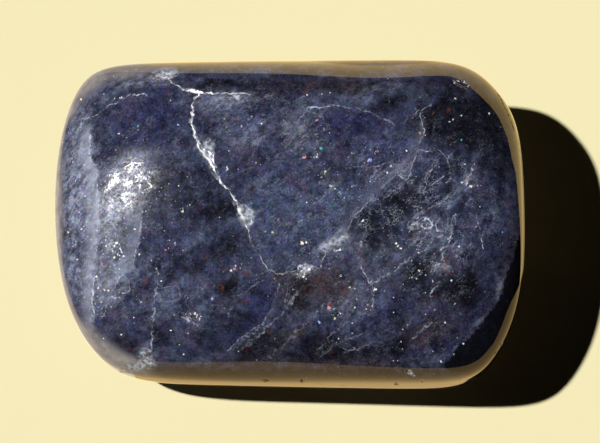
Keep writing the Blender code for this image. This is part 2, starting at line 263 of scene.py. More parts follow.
# Red and brown flakes of mica, by tint: (x, y, half length, half width, turn).
FLAKES = {
    "rust": (
        (167.5, 91.5, 3.2, 1.8, 60), (116, 152, 1.8, 1.4), (99.5, 128.5, 1.3, 2.2), (71, 130, 2, 2.4),
        (71.5, 137, 1.2, 1.6), (62.5, 181.5, 1.4, 1.2), (211, 124, 1.8, 1.2, 45), (226.5, 102, 2, 1),
        (266, 77, 2.2, 1), (374, 102, 3, 1, 35), (280, 122, 2.2, 2.4), (314.5, 141, 1.8, 1.4),
        (373, 136, 1.8, 1.4), (365, 190, 1, 1.6), (448.5, 139, 1.3, 3, 25), (334, 303, 4, 1.6, 20),
        (174, 282, 3, 2.4, 45), (222, 287, 3, 5), (463, 328.5, 2.2, 1.5, 20), (433.5, 296.5, 2.8, 1.4),
        (498, 288.5, 1.8, 3.2, -20), (441, 270, 1.8, 2.2), (450.5, 274.5, 1.6, 1.4), (389, 262, 1.4, 2.2),
        (385.5, 326.5, 1.5, 1.5), (416, 358.5, 2.4, 1.6), (488, 309, 2, 1.2, 45),
    ),
    "brown": (
        (129, 130, 1.5, 1.1), (136, 89, 1.6, 1.6), (262.5, 102.5, 4.5, 1.6, 40), (271.5, 90.5, 2.6, 2, 45),
        (304.5, 88, 2.4, 1.2, -10), (310, 81, 2.4, 1.6), (351, 95, 3.4, 1.5, -45), (261, 134, 2.6, 2),
        (339.5, 144, 1.8, 3.6, 15), (414, 115, 2, 1, 45), (431, 209.5, 3.4, 2.4, 20), (414.5, 233, 2.4, 3.4),
        (343.5, 262, 2.6, 4, 20), (264.5, 261.5, 2.6, 2.2), (284, 251.5, 1.8, 1, -45),
        (318, 281, 6, 2.4, 40), (305, 288, 3.2, 3.6), (299, 334, 7, 2.6, 30), (331, 361.5, 6, 2.6, 15),
        (361.5, 348, 5, 1.8, 10), (330, 347.5, 3.6, 2.4, 20), (428.5, 271, 2.4, 2.8), (369, 311.5, 2.6, 3.2),
        (363, 345.5, 3.4, 1.6),
    ),
    "garnet": (
        (446.5, 112, 3, 2.2, -40), (430, 84, 2, 2.2), (441, 80, 2.2, 1.8), (289, 361, 6, 1.8),
        (247, 350, 6, 4.5, 45), (253, 362, 6, 1.8), (170.5, 269.5, 1.7, 1.7), (130.5, 350.5, 4.6, 3.4, -45),
        (139.5, 341, 1.8, 3), (406, 326.5, 3.6, 3), (427.5, 335.5, 5, 2.8, 30), (468, 302.5, 3, 2),
        (410, 341, 2, 3, 30), (478, 327, 1.8, 1.4),
    ),
    "tan": (
        (237.5, 118.5, 2.4, 3.4), (262, 273, 1.8, 1.2), (126.5, 317.5, 2.6, 2), (104.5, 349.5, 1.2, 0.8),
        (493, 145, 1, 1), (510.5, 237.5, 1, 1),
    ),
    "orange": (
        (433.5, 113, 3.2, 1.1, 48), (276, 278.5, 1.6, 1.2), (330.5, 306, 3.6, 4.2, 20), (85, 300, 1.4, 1.2),
        (449.5, 298.5, 1.6, 1.2), (501, 270.5, 1.4, 1.2), (447, 269, 1, 1.2),
    ),
}

# Tracts of another tone: (strength, x, y, half length, half width, turn). Fine pale fibres crowd in the fibre
# tracts, the speckle tracts are duller and glint more, with more painted glints, and a reflection of the card
# is painted on the outer rim in its own tracts.
DARK_TRACTS = (
    (0.6, 475, 118, 40, 34), (0.35, 500, 180, 16, 30), (0.5, 340, 352, 90, 9), (0.3, 455, 325, 40, 24, 15),
    (0.25, 300, 315, 60, 20, 10), (0.85, 310, 376, 190, 7), (0.35, 470, 285, 30, 22),
    (0.42, 188, 197, 26, 32), (0.3, 160, 180, 16, 12, 30), (0.45, 176, 268, 24, 10, 10),
    (0.6, 230, 245, 12, 22, -60), (0.8, 224, 210, 12, 18, -60), (1, 430, 121, 14, 15),
    (0.75, 455, 118, 22, 18), (0.6, 478, 122, 20, 22, -45), (0.65, 400, 200, 30, 14, 40),
    (0.65, 378, 235, 22, 24, 40), (0.85, 418, 270, 22, 10, 35), (0.75, 448, 287, 24, 8, 15),
    (0.8, 466, 298, 16, 8, 20), (0.7, 320, 345, 22, 14, 10), (0.45, 208, 330, 14, 18),
    (0.45, 240, 318, 10, 16, 60), (0.7, 255, 347, 22, 10, 35), (0.5, 300, 292, 14, 12, 70),
    (0.65, 230, 287, 14, 10, 30), (0.45, 310, 85, 120, 9), (0.55, 215, 84, 30, 7), (0.4, 160, 334, 10, 20),
    (0.5, 445, 172, 14, 12), (0.35, 395, 320, 20, 14, 30), (0.6, 125, 345, 14, 12, -30),
    (0.3, 330, 190, 20, 8), (0.5, 392, 345, 26, 8, 20), (0.3, 300, 150, 8, 7), (0.25, 255, 152, 22, 10),
    (0.3, 265, 100, 20, 5), (0.3, 365, 125, 20, 5, -25), (0.6, 385, 105, 20, 6, 20), (0.4, 500, 150, 12, 24),
)
BLUE_TRACTS = (
    (0.75, 262, 205, 26, 36, -50), (0.6, 300, 215, 40, 24), (0.5, 340, 200, 40, 22, 10),
    (0.35, 280, 250, 20, 22), (0.35, 385, 150, 40, 22), (0.25, 495, 200, 24, 44), (0.3, 450, 240, 44, 30, 20),
    (0.4, 175, 150, 26, 16), (0.3, 120, 130, 22, 10), (0.45, 207, 318, 20, 18),
)
VIOLET_TRACTS = (
    (1, 258, 311, 24, 13, 60), (0.6, 238, 338, 14, 8, 45), (0.9, 355, 122, 26, 12, -15),
    (0.6, 322, 126, 10, 6), (0.75, 150, 112, 24, 12), (0.75, 150, 140, 26, 8), (0.6, 120, 124, 10, 6, 30),
    (0.7, 165, 90, 10, 6), (0.4, 375, 148, 26, 14), (0.5, 290, 335, 14, 10, 30), (0.6, 320, 322, 12, 8),
    (0.75, 485, 300, 16, 22, -25), (0.6, 455, 335, 44, 20, 15), (0.5, 420, 352, 40, 10),
    (0.5, 380, 312, 22, 22), (0.5, 284, 108, 10, 6), (0.6, 225, 105, 8, 4), (0.4, 210, 345, 30, 12),
    (0.25, 475, 240, 30, 30), (0.35, 285, 242, 20, 14), (0.35, 440, 318, 60, 14, 15),
)
BROWN_TRACTS = (
    (0.9, 320, 374, 180, 8), (0.3, 440, 325, 44, 22, 10), (0.25, 470, 275, 30, 24), (0.5, 512, 300, 8, 60),
    (0.8, 322, 284, 24, 13, 15), (0.5, 345, 290, 24, 12), (0.5, 300, 296, 16, 14, 60),
    (0.5, 272, 345, 26, 10, 35), (0.5, 340, 360, 46, 6), (0.45, 310, 86, 80, 8), (0.5, 300, 332, 16, 6, 30),
    (0.4, 250, 362, 40, 4), (0.5, 228, 284, 12, 8, 20), (0.5, 425, 335, 26, 10, 20), (0.3, 430, 300, 20, 10),
    (0.4, 355, 88, 20, 8), (0.3, 390, 265, 18, 10, 30), (0.4, 430, 120, 12, 12), (0.5, 285, 276, 12, 5),
    (0.3, 235, 165, 20, 12),
)
# Pale haze in the stone, and round the highlight at the left end a painted glow of it.
HAZE_AND_GLOW_TRACTS = (
    (0.5, 72, 190, 13, 80), (0.4, 80, 130, 12, 30, -10), (0.95, 88, 190, 9, 36), (0.35, 76, 185, 12, 34),
    (0.4, 75, 230, 14, 50), (0.75, 105, 214, 12, 12), (0.8, 104, 232, 9, 14), (0.6, 112, 275, 22, 22, -20),
    (0.5, 105, 255, 10, 14), (0.5, 96, 288, 18, 18), (0.9, 124, 186, 18, 26, -25),
    (0.6, 112, 215, 14, 16, -30), (0.45, 134, 172, 16, 12, 20), (0.5, 82, 145, 9, 10),
    (0.5, 130, 83, 22, 5, 5), (0.25, 105, 90, 22, 12, 30), (0.45, 150, 80, 20, 6, -5),
    (0.75, 226, 100, 26, 8, 5), (0.9, 206, 150, 8, 7, -59), (0.85, 246, 214, 7, 6, -59),
    (0.4, 222, 122, 12, 20), (0.45, 250, 140, 16, 8, 10), (0.4, 240, 138, 10, 6),
    (0.55, 298, 144, 12, 12, -30), (0.3, 285, 120, 20, 12), (0.35, 300, 126, 12, 8, 30),
    (0.55, 333, 188, 8, 9, -40), (0.8, 334, 242, 16, 8, 30), (0.7, 325, 247, 8, 5), (0.35, 360, 245, 7, 12),
    (0.35, 350, 300, 18, 12), (0.2, 360, 290, 16, 14), (0.18, 375, 265, 18, 14), (0.45, 400, 168, 12, 10),
    (0.4, 419, 124, 4, 9), (0.5, 468, 178, 8, 14, -30), (0.42, 432, 225, 20, 16), (0.35, 440, 240, 14, 16),
    (0.45, 440, 268, 12, 12), (0.85, 146, 357, 8, 10, 30), (0.95, 134, 366, 14, 4, 15),
    (0.3, 152, 320, 3, 30), (0.45, 192, 318, 9, 7), (0.6, 500, 292, 4, 14, -25), (0.55, 480, 325, 5, 12, -45),
    (0.3, 432, 355, 12, 8, 30), (0.3, 495, 275, 10, 10), (0.9, 165, 75, 11, 5, 5), (0.25, 360, 100, 8, 12),
    (0.35, 385, 88, 30, 6), (0.2, 248, 272, 8, 8), (0.35, 260, 240, 10, 10), (0.3, 232, 270, 6, 4),
    (0.2, 380, 335, 16, 16), (0.3, 395, 256, 18, 10, 30),
)
FIBRE_TRACTS = (
    (1, 108, 272, 26, 26), (0.55, 76, 225, 20, 60), (0.75, 430, 190, 34, 40), (1, 432, 235, 30, 26),
    (0.6, 440, 270, 20, 20), (0.35, 330, 200, 90, 40), (0.6, 120, 205, 30, 50), (0.4, 480, 210, 24, 40),
    (0.55, 380, 190, 36, 30), (0.35, 180, 310, 34, 26), (0.4, 360, 310, 30, 20), (0.4, 300, 240, 40, 40),
    (0.5, 230, 115, 40, 30), (0.3, 440, 340, 50, 30), (0.4, 290, 130, 40, 26), (0.35, 160, 160, 30, 40),
)
CRUSHED_TRACTS = (
    (0.9, 207, 147, 5, 7, -15), (0.9, 211, 158, 3, 6), (0.9, 246, 213, 6, 6, -50), (0.8, 249, 222, 3, 6, 10),
    (0.75, 165, 74, 10, 4, 8), (0.7, 147, 357, 5, 8, 30), (0.8, 136, 366, 11, 3, 12),
    (0.7, 334, 243, 11, 4, 28), (0.6, 303, 270, 8, 3, 35), (0.4, 466, 180, 4, 5, -30),
    (0.9, 410, 372.5, 3.5, 2, -30), (0.2, 422, 122, 2, 7, 5), (0.4, 415, 228, 5, 5), (0.4, 232, 97, 14, 3),
    (0.4, 112, 244, 7, 4, 60),
)
SPECKLE_TRACTS = (
    (1, 124, 190, 22, 34, -25), (0.9, 110, 209, 16, 9, 30), (0.85, 112, 244, 20, 26), (0.8, 105, 285, 26, 22),
    (0.45, 80, 200, 22, 60), (0.5, 160, 200, 34, 40), (0.8, 310, 262, 30, 16, 20), (0.5, 320, 165, 50, 30),
    (0.6, 432, 230, 26, 24), (0.5, 245, 130, 24, 12), (0.4, 400, 220, 40, 40), (0.6, 240, 270, 20, 14),
    (0.7, 195, 318, 14, 8), (0.4, 350, 200, 40, 30), (0.5, 420, 260, 40, 26), (0.6, 330, 305, 14, 12),
    (0.4, 370, 285, 20, 12),
)
# Where a pinkish-grey reflection of the card is painted on the outer rim, and its polish is cut down.
RIM_REFLECTION_TRACTS = (
    (0.9, 84, 335, 16, 8, -50), (1, 102, 350, 20, 9, -38), (0.9, 126, 363, 16, 7, -22),
    (0.9, 112, 364, 18, 6, -32), (0.9, 134, 373, 18, 5, -15), (0.7, 70, 112, 14, 5, 60),
    (0.8, 90, 85, 18, 7, 38), (0.6, 128, 73, 24, 6, 8), (0.9, 57, 215, 5, 90), (0.7, 62, 295, 7, 30, 15),
)

# The lower right corner, turned away from the sun, has its shade painted near black: the line of the painted
# shade's inner edge, closed round outside the stone.
CORNER_SHADE_EDGE = (
    (515, 246), (512.7, 260.9), (507, 271.3), (503.5, 282.7), (500.1, 297.7), (492, 309.1), (486.3, 316),
    (479.4, 325.2), (471.4, 334.4), (463.3, 342.4), (455.3, 348.2), (451.8, 356.2), (440, 366), (452, 372),
    (520, 385), (540, 300), (532, 230), (521, 232),
)

# The view: nearly straight down, from a little towards the near side.
FRAME_PX = (600, 443)
STONE_PX = (288.81, 228.68)
MM_PER_PX = 0.0539
VIEW_TILT = 12.0
VIEW_DISTANCE = 152.6
AIM_HEIGHT = 5.29
SENSOR_MM = 36
CLIP_RANGE = (0.01, 10)

# The polish mirrors the sunlit card that the stone lies on, in sheets that show only there, in mm: a pale one
# on the left, a bright one on the far side, a dim one on the near side, and the far corner, which curls up.
# The stone's shadow is the gap between the bright and the dim sheet, from the tip to the right.
CARD_LIFT = 0.01
CARD_GLOW = 0.5
CARD_LEFT, CARD_REACH = -23.0, 1500.0
CARD_TIP, CARD_FAR_EDGE, CARD_NEAR_SIDE = (20.0, -3.0), (59.0, 15.0), (72.0, -17.5)
CARD_SLOPE = 0.32
CARD_NEAR_LEFT, CARD_NEAR_EDGE, CARD_NEAR_FLARE = -8.6, -8.0, 0.4
# The far corner's outline: (azimuth, rise), in degrees.
CARD_CURL = ((73, 0), (60, 8), (50, 11), (40, 9), (30, 8), (21, 3), (17, 0))
CARD_COLOUR = (1.0, 0.71, 0.275)
CARD_PALE_COLOUR = (0.8, 0.68, 0.47)
CARD_NEAR_COLOUR = (0.8, 0.54, 0.22)
CARD_CURL_COLOUR = (1.0, 0.66, 0.22)

FLOOR_SIZE = 4.0
FLOOR_COLOUR = (0.73, 0.665, 0.41)
PAPER_ROUGHNESS, PAPER_POLISH = 0.9, 0.1

# The sun: its height and azimuth in degrees, from the shadow and the highlight.
KEY_HEIGHT, KEY_AZIMUTH = 59.2, 174.8
KEY_STRENGTH = 4.6
KEY_SPREAD = 1.5
KEY_COLOUR = (1, 0.985, 0.95)
FILL_COLOUR, FILL_STRENGTH = (0.5, 0.55, 0.6), 0.001

# Linear colours of the stone's body and of what is in it, and of the painted shade, glow and reflection.
NAVY = (0.024, 0.026, 0.057)
DEEP_NAVY = (0.013, 0.014, 0.034)
BLUE_GREY = (0.048, 0.06, 0.121)
MID_BLUE = (0.053, 0.07, 0.138)
GREEN_BLACK = (0.005, 0.005, 0.0085)
VIOLET = (0.02, 0.023, 0.066)
VIOLET_GREY = (0.045, 0.042, 0.08)
BROWN = (0.04, 0.029, 0.032)
FROST = (0.098, 0.12, 0.195)
# Pale haze, and the painted glow round the highlight.
HAZE_AND_GLOW = (0.205, 0.226, 0.32)
VEIL = (0.34, 0.365, 0.47)
PALE = (0.5, 0.55, 0.68)
# Painted shade, near black, for the lower right corner that faces away from the sun.
PAINTED_SHADE_BLACK = (0.0025, 0.0025, 0.004)
PIT_BROWN = (0.02, 0.014, 0.01)
SEAM_WHITE = (0.85, 0.87, 0.9)
SEAM_GREY = (0.25, 0.27, 0.33)
CRUSHED = (0.36, 0.38, 0.44)
# A painted pinkish-grey reflection of the card, for the outer rim.
PAINTED_RIM_REFLECTION = (0.29, 0.26, 0.255)

IOLITE_IOR = 1.54
SPECULAR, PITTED_SPECULAR = 0.5, 0.3
# Roughness of the polish, of speckled skin, of the unseen sides and of the frost on the speckles.
SMOOTH, SPECKLED, UNSEEN, FROSTED = 0.035, 0.24, 0.24, 0.36
POLISH_RIPPLE = 0.0065
FIBRE_TURN, FIBRE_STRETCH = 40, (2.2, 0.8, 1)

# How squarely a face looks at the camera where the photo's marks show fully.
SQUARE_ON = 0.25
RIM_FADE = 0.6
VEIL_FADE = 1.5

# Finer squares near the seam and the chips: their reach in px, cuts, and how far down the grid they go.
FINE_REACH = 5
FINE_CUTS = 3
FINE_FLOOR = -0.3
CUT_NOISE, CUT_RAGGEDNESS = 6.0, 0.35
CHIP_RIPPLE, CHIP_RIPPLES = 0.25, 5


def waist_radius(azimuth):
    """Distance from the middle to the waist, in mm."""
    facing = [np.cos(azimuth - math.radians(turn)) / distance for turn, distance in WAIST_FLATS]
    return sum(np.maximum(0, part) ** FLAT_SOFTNESS for part in facing) ** (-1 / FLAT_SOFTNESS)


def skin(directions):
    """Points of the uncut stone's skin, in mm, for directions from its middle."""
    x, y, z = directions.T
    azimuth = np.arctan2(y, x)
    power = sum(factor * x**i * y**j for factor, i, j in SQUARENESS)
    power = np.where(z >= 0, np.maximum(power, LEAST_SQUARENESS), UNDERSIDE_SQUARENESS)
    flat = np.hypot(x, y)
    reach = (flat**power + np.abs(z) ** power) ** (1 / power)
    out, up = flat / reach, np.abs(z) / reach
    dome = 1 / np.hypot(np.cos(azimuth) / DOME_HALF_LENGTH, np.sin(azimuth) / DOME_HALF_WIDTH)
    radius = out * (dome + (waist_radius(azimuth) - dome) * out**DOME_FADE)
    x, y = radius * np.cos(azimuth), radius * np.sin(azimuth)
    wave = 0.0
    for height, along_x, along_y, phase in TUMBLE_WAVES:
        wave += height * np.sin(2 * math.pi * (along_x * x + along_y * y) + phase)
    lean = LEAN_ALONG * x + LEAN_ACROSS * y
    upper = WAIST_HEIGHT + lean + RISE_ABOVE_WAIST * up + up * wave
    lower = np.maximum(0, WAIST_HEIGHT + lean * out**2 - DROP_BELOW_WAIST * up)
    return np.stack([x + MIDDLE_X, y + MIDDLE_Y, np.where(z >= 0, upper, lower)], axis=1)


def box_grid(cells):
    """The corners and squares of a box's grid, from -1 to 1 along each axis."""
    index, squares = {}, []
    for axis in range(3):
        across, along = (axis + 1) % 3, (axis + 2) % 3
        for side in (0, cells[axis]):
            for a, b in np.ndindex(cells[across], cells[along]):
                ring = []
                for da, db in ((0, 0), (1, 0), (1, 1), (0, 1)):
                    place = (side, a + da, b + db)
                    ring.append(index.setdefault(place[-axis:] + place[:-axis], len(index)))
                squares.append(ring if side else ring[::-1])
    return 2 * np.array(list(index)) / cells - 1, squares


def carried_out(corners):
    """The box's corners carried out to the skin, in mm."""
    even = np.tan(corners * math.pi / 4)
    return skin(even / np.linalg.norm(even, axis=1, keepdims=True))


def fitted(points):
    """The skin's points, stretched by the last hair to the CAD solid's box."""
    low, high = (np.array(corner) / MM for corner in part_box("iolite_stone"))
    mine_low, mine_high = points.min(axis=0), points.max(axis=0)
    return low + (points - mine_low) * (high - low) / (mine_high - mine_low)


def view_axes():
    """The view's directions back to the camera and up in the picture, and the point it looks at, in mm."""
    tilt = math.radians(VIEW_TILT)
    back = np.array((0, -math.sin(tilt), math.cos(tilt)))
    up = np.array((0, math.cos(tilt), math.sin(tilt)))
    right_px, up_px = FRAME_PX[0] / 2 - STONE_PX[0], STONE_PX[1] - FRAME_PX[1] / 2
    aim = np.array((right_px * MM_PER_PX, 0, AIM_HEIGHT)) + up * up_px * MM_PER_PX
    return back, up, aim


def seen_at(points):
    """Where the view shows points of the stone, in px of the frame."""
    back, up, aim = view_axes()
    away = points - (aim + back * VIEW_DISTANCE)
    px_per_mm = -VIEW_DISTANCE / (away @ back) / MM_PER_PX
    return np.stack([away[:, 0], -(away @ up)], axis=1) * px_per_mm[:, None] + np.array(FRAME_PX) / 2


def take_nearer(best, found, distance=1):
    """Takes over the found rows wherever the row that holds the distance is smaller."""
    nearer = found[distance] < best[distance]
    best[:, nearer] = np.array(found)[:, nearer]
    return nearer


def follow(places, line):
    """Offset to either side of a line, distance from it, and how many of its points each place is along."""
    line = np.array([point[:2] for point in line], dtype=float)
    best = np.full((3, len(places)), np.inf)
    for number, (start, end) in enumerate(zip(line, line[1:])):
        run = end - start
        share = np.clip((places - start) @ run / (run @ run), 0, 1)
        away = places - start - share[:, None] * run
        here = np.hypot(away[:, 0], away[:, 1])
        side = np.sign(run[0] * away[:, 1] - run[1] * away[:, 0])
        take_nearer(best, [side * here, here, number + share])
    return best


def across_patch(places, x, y, half_length, half_width, turn=0):
    """Place across a tilted ellipse, as shares of its half length and half width."""
    cosine, sine = math.cos(math.radians(turn)), math.sin(math.radians(turn))
    right, up = places[:, 0] - x, y - places[:, 1]
    return (right * cosine + up * sine) / half_length, (up * cosine - right * sine) / half_width


def tract(places, patches):
    """How much of a tract's tone each place has, from 0 to 1. A patch has half its strength at its rim."""
    clear = np.ones(len(places))
    for strength, *patch in patches:
        clear *= 1 - strength * 0.5 ** np.square(across_patch(places, *patch)).sum(axis=0)
    return 1 - clear


def seam_at(places):
    """Offset from the seam's nearest path, distance from it, and its width there."""
    best = np.full((3, len(places)), np.inf)
    for path in SEAM_PATHS:
        offset, distance, along = follow(places, path)
        width = np.interp(along, range(len(path)), [point[2] for point in path])
        take_nearer(best, [offset, distance, width])
    return best


def line_at(places, lines):
    """Offset from the nearest of the lines and distance from it, in spreads, and its strength."""
    best = np.full((3, len(places)), np.inf)
    for strength, spread, line in lines:
        offset, distance, along = follow(places, line)
        take_nearer(best, [offset / spread, distance / spread, np.full_like(along, strength)])
    return best


def grain_at(places, grains):
    """Place across the nearest grain, 1 at its rim, with its distance, and its tint."""
    best = np.full((3, len(places)), np.inf)
    tints = np.ones((len(places), 4))
    for tint, members in grains.items():
        for x, y, half_length, *rest in members:
            along, across = across_patch(places, x, y, half_length, *(rest or [half_length]))
            nearer = take_nearer(best, [along, across, np.hypot(along, across)], distance=2)
            tints[nearer, :3] = TINTS[tint]
    return best, tints


def inside(places, ring):
    """Whether each place lies inside a closed ring."""
    x, y = places.T
    found = np.zeros(len(places), dtype=bool)
    for (x0, y0), (x1, y1) in zip(ring, ring[1:] + ring[:1]):
        crosses = (y < y0) != (y < y1)
        found ^= crosses & (x < x0 + (y - y0) * (x1 - x0) / ((y1 - y0) or 1))
    return found


def cut_depth(places, rough):
    """How deep the seam and the chips cut the skin, in mm."""
    _, distance, width = seam_at(places)
    half = width * (0.5 + CUT_RAGGEDNESS * rough)
    depth = SEAM_DEPTH_PER_WIDTH * width * MM_PER_PX * np.clip(1 - distance / half, 0, 1)
    for deepest, *patch in CHIPS:
        out = np.hypot(*across_patch(places, *patch)) * (1 + CUT_RAGGEDNESS * rough)
        ripple = 1 + CHIP_RIPPLE * np.cos(CHIP_RIPPLES * math.pi * out)
        depth = np.maximum(depth, deepest * np.clip(1 - out**2, 0, 1) * ripple)
    return depth


def refined(corners, squares):
    """The grid, with its squares near the seam and the chips cut finer."""
    places = seen_at(fitted(carried_out(corners)))
    near = seam_at(places)[1] < FINE_REACH
    for _, x, y, half_length, half_width, *turn in CHIPS:
        out = np.hypot(*across_patch(places, x, y, half_length, half_width, *turn))
        near |= out < 1 + FINE_REACH / half_width
    near &= corners[:, 2] > FINE_FLOOR
    grid = bmesh.new()
    made = [grid.verts.new(corner) for corner in corners]
    faces = [grid.faces.new([made[i] for i in square]) for square in squares]
    chosen = [face for face, square in zip(faces, squares) if near[square].any()]
    edges = list(dict.fromkeys(edge for face in chosen for edge in face.edges))
    bmesh.ops.subdivide_edges(grid, edges=edges, cuts=FINE_CUTS, use_grid_fill=True)
    grid.verts.index_update()
    corners = np.array([corner.co[:] for corner in grid.verts])
    squares = [[corner.index for corner in face.verts] for face in grid.faces]
    grid.free()
    return corners, squares


def keep(mesh, name, columns, kind, field):
    """Keeps a row of numbers for each corner of the mesh, for the material to read."""
    values = np.stack(columns, axis=1).astype(np.float32)
    mesh.attributes.new(name, kind, "POINT").data.foreach_set(field, values.ravel())


def veil_at(places):
    """How hazy each place is from the veils that end at a line and fade away from it on one side."""
    haze = np.zeros(len(places))
    for strength, reach, line in VEILS:
        offset, distance, _ = follow(places, line)
        fade = np.clip(1 - distance / abs(reach), 0, 1) ** VEIL_FADE * (offset * reach > 0)
        haze = np.maximum(haze, strength * fade)
    return haze


def keep_marks(mesh, places, seen):
    """Keeps on the mesh where every mark of the photo lies."""
    def share(patches):
        return tract(places, patches) * seen

    # Distance from the inner edge of the painted shade in the lower right corner.
    corner = follow(places, CORNER_SHADE_EDGE)[1] * np.where(inside(places, CORNER_SHADE_EDGE), 1, -1)
    # Where a reflection of the card is painted on the rim.
    rim_reflection = tract(places, RIM_REFLECTION_TRACTS) * seen**RIM_FADE
    marks = {
        "tone": (share(DARK_TRACTS), share(BLUE_TRACTS), share(VIOLET_TRACTS)),
        "mist_and_glow": (share(BROWN_TRACTS), share(HAZE_AND_GLOW_TRACTS), share(FIBRE_TRACTS)),
        "speckle_shade_seen": (share(SPECKLE_TRACTS), corner, seen),
        "veil_wear_and_rim_reflection": (veil_at(places) * seen, share(CRUSHED_TRACTS), rim_reflection),
        "seam": seam_at(places),
        "vein": line_at(places, VEINS),
        "scratch": line_at(places, SCRATCHES),
    }
    for name, grains in (("glint", GLINTS), ("flake", FLAKES)):
        marks[name], tints = grain_at(places, grains)
        keep(mesh, name + "_tint", tints.T, "FLOAT_COLOR", "color")
    for name, columns in marks.items():
        keep(mesh, name, columns, "FLOAT_VECTOR", "vector")


def make_stone():
    """The stone's skin, cut by its seam and chips."""
    corners, squares = refined(*box_grid(CELLS))
    points = fitted(carried_out(corners))
    mesh = bpy.data.meshes.new("polished_stone")
    mesh.from_pydata((points * MM).tolist(), [], squares)
    mesh.update()
    normals = np.array([normal.vector[:] for normal in mesh.vertex_normals])
    places = seen_at(points)
    seen = np.clip(normals @ view_axes()[0] / SQUARE_ON, 0, 1)
    rough = np.array([noise.noise(Vector(point) * CUT_NOISE) for point in points])
    points = points - normals * (cut_depth(places, rough) * (seen > 0))[:, None]
    mesh.vertices.foreach_set("co", (points * MM).ravel())
    mesh.shade_smooth()
    mesh.update()
    keep_marks(mesh, places, seen)
    return add_object("polished_stone", mesh)


def add_object(name, data):
    """A new object in the scene."""
    made = bpy.data.objects.new(name, data)
    bpy.context.collection.objects.link(made)
    return made


def new_material(name, values):
    """A material, with values set on its shader's own sockets."""
    material = bpy.data.materials.new(name)
    material.use_nodes = True
    surface = material.node_tree.nodes["Principled BSDF"]
    for socket, value in values.items():
        surface.inputs[socket].default_value = value
    return material


class Nodes:
    """Adds nodes to the stone's material and links them."""

    def __init__(self, material):
        self.tree = material.node_tree
        self.place = self.scaled(self.add("ShaderNodeTexCoord", {}, "Object"), 1 / MM)
        along = {0: self.place, 2: (0, 0, math.radians(FIBRE_TURN)), 3: FIBRE_STRETCH}
        self.slant = self.add("ShaderNodeMapping", along, vector_type="TEXTURE")
        # Speckle, distance from the edge of the painted shade, and how squarely each place faces the view.
        self.speckle, self.corner, self.seen = self.kept("speckle_shade_seen")

    def feed(self, socket, value):
        """Links what varies by place to the shader."""
        self.tree.links.new(value, self.tree.nodes["Principled BSDF"].inputs[socket])

    def add(self, kind, inputs, output=0, **settings):
        node = self.tree.nodes.new(kind)
        for name, value in settings.items():
            setattr(node, name, value)
        for socket, value in inputs.items():
            if isinstance(value, bpy.types.NodeSocket):
                self.tree.links.new(value, node.inputs[socket])
            else:
                node.inputs[socket].default_value = value
        return node.outputs[output]

    def math(self, operation, *values):
        return self.add("ShaderNodeMath", dict(enumerate(values)), operation=operation)

    def times(self, *values):
        total = values[0]
        for value in values[1:]:
            total = self.math("MULTIPLY", total, value)
        return total

    def plus(self, first, second):
        return self.math("ADD", first, second)

    def vector(self, operation, *values):
        return self.add("ShaderNodeVectorMath", dict(enumerate(values)), operation=operation)

    def scaled(self, colour, factor):
        return self.add("ShaderNodeVectorMath", {0: colour, 3: factor}, operation="SCALE")

    def smooth(self, value, start, end):
        """0 at start and 1 at end, eased in between."""
        return self.add("ShaderNodeMapRange", {0: value, 1: start, 2: end}, interpolation_type="SMOOTHSTEP")

    def span(self, value, low, high):
        """A share from 0 to 1 spread between two values."""
        return self.add("ShaderNodeMapRange", {0: value, 3: low, 4: high})

    def mix(self, share, first, second):
        first, second = ((*c, 1) if isinstance(c, tuple) else c for c in (first, second))
        return self.add("ShaderNodeMix", {0: share, 6: first, 7: second}, output=2, data_type="RGBA")

    def noise(self, scale, detail, seed, place=None, output=0):
        place = self.place if place is None else place
        inputs = {"Vector": place, "W": seed, "Scale": scale, "Detail": detail}
        return self.add("ShaderNodeTexNoise", inputs, output, noise_dimensions="4D")

    def patchy(self, scale, detail, seed, low=0.0, high=1.0, sharp=0.13, place=None):
        """A noise spread evenly from low to high."""
        value = self.noise(scale, detail, seed, place)
        return self.add("ShaderNodeMapRange", {0: value, 1: 0.5 - sharp, 2: 0.5 + sharp, 3: low, 4: high})

    def slanted(self, *settings):
        """The same, drawn out along the slant of the fibres and veils."""
        return self.patchy(*settings, place=self.slant)

    def cells(self, scale):
        """Distance from the nearest of scattered points, and three numbers of that point's own."""
        distance = self.add("ShaderNodeTexVoronoi", {"Vector": self.place, "Scale": scale})
        return distance, self.parts(distance.node.outputs["Color"])

    def parts(self, vector):
        return tuple(self.add("ShaderNodeSeparateXYZ", {0: vector}).node.outputs)

    def attribute(self, name, output):
        return self.add("ShaderNodeAttribute", {}, output, attribute_name=name)

    def kept(self, name):
        """The three numbers that the mesh keeps under a name."""
        return self.parts(self.attribute(name, "Vector"))


def ragged(n, share, scale, seed, reach=0.5):
    """A tract's share, with its rim broken up by noise."""
    broken = n.span(n.noise(scale, 5, seed), -reach, reach)
    return n.times(n.smooth(n.plus(share, broken), 0.05, 0.8), n.smooth(share, 0.0, 0.25))


def thin_lines(n, place, scale, detail, seed, width):
    """Thin curved lines, where a noise crosses its middle value."""
    away = n.math("ABSOLUTE", n.math("SUBTRACT", n.noise(scale, detail, seed, place), 0.5))
    return n.smooth(away, width, width * 0.2)


